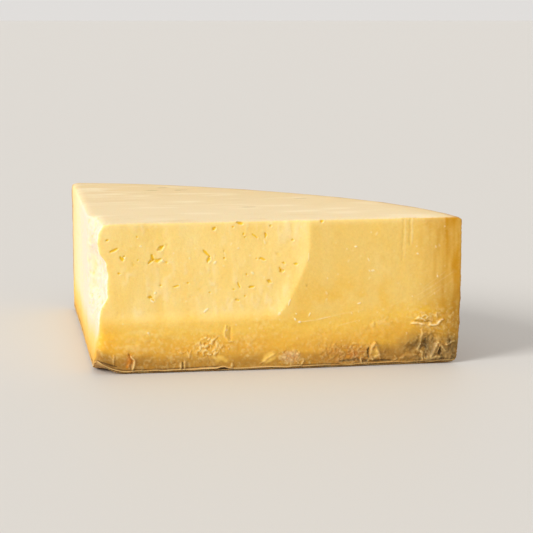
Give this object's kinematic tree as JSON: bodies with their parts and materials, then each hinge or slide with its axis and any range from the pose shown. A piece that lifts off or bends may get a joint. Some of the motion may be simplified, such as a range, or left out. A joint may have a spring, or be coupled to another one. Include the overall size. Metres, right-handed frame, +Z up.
{
  "type": "cheese wedge",
  "caption": "Wedge of firm yellow cheese cut from a low wheel, its cut faces meeting at a broken tip and a curved brown rind at the back; rests flat on its base.",
  "frame": {"origin": "below the middle of the wedge's box, on the surface it rests on", "axes": "+X along the front cut face from the tip to the rind, +Y along the left cut face towards the rind, +Z up through the thickness"},
  "size_m": [0.2036, 0.193, 0.0816],
  "materials": {
    "cheese": "semi-matt, slightly oily cut paste with a dry rind"
  },
  "bodies": {
    "root": {"cheese_wedge": "cheese"}
  },
  "joints": []
}
